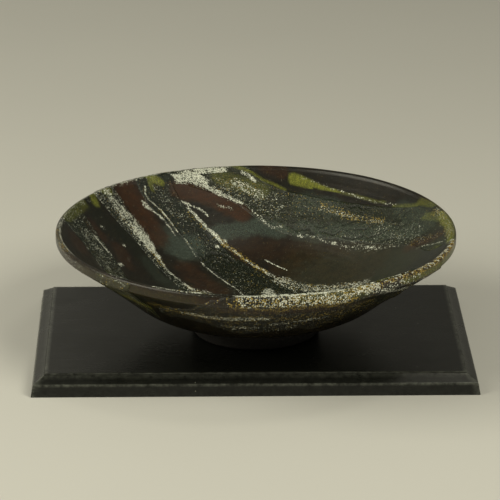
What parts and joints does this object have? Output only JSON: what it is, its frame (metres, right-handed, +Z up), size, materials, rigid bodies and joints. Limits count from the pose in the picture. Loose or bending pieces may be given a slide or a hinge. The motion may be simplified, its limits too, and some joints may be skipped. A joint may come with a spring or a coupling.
{
  "type": "ikebana suiban",
  "caption": "Wide shallow round stoneware flower basin on a foot ring, with poured ash-glaze streaks over dark iron glaze, standing on a rectangular black lacquered board with bevelled edges.",
  "frame": {"origin": "centre of the board's underside, which is also the middle of the assembly's bounding box seen from above, on the surface it stands on", "axes": "+X along the board's long side to the viewer's right, +Y to the back, +Z up"},
  "size_m": [0.4, 0.3679, 0.1158],
  "materials": {
    "black_lacquer": "satin black urethane lacquer over wood",
    "iron_glaze": "satin dark brown iron glaze",
    "bare_clay": "unglazed fired stoneware",
    "ash_glaze": "crusty grey-green ash glaze with pale specks",
    "olive_glaze": "glassy yellow-green ash glaze",
    "ash_crust": "dry speckled cream and brown ash crust"
  },
  "bodies": {
    "board": {"board_panel": "black_lacquer", "board_moulding_front": "black_lacquer", "board_moulding_back": "black_lacquer", "board_moulding_left": "black_lacquer", "board_moulding_right": "black_lacquer"},
    "bowl": {"bowl_body": "iron_glaze", "foot_ring": "bare_clay", "ash_streak_far_left": "ash_glaze", "ash_streak_left": "ash_glaze", "ash_streak_middle": "ash_glaze", "ash_streak_far": "ash_glaze", "ash_thread": "ash_glaze", "olive_streak": "olive_glaze", "outer_ash_front": "ash_crust", "outer_ash_back": "ash_crust", "outer_ash_left": "ash_crust"}
  },
  "joints": [
    {"name": "bowl_lift", "type": "slide", "parent": "board", "child": "bowl", "axis": [0, 0, 1], "range_m": [0, 0.12]}
  ]
}
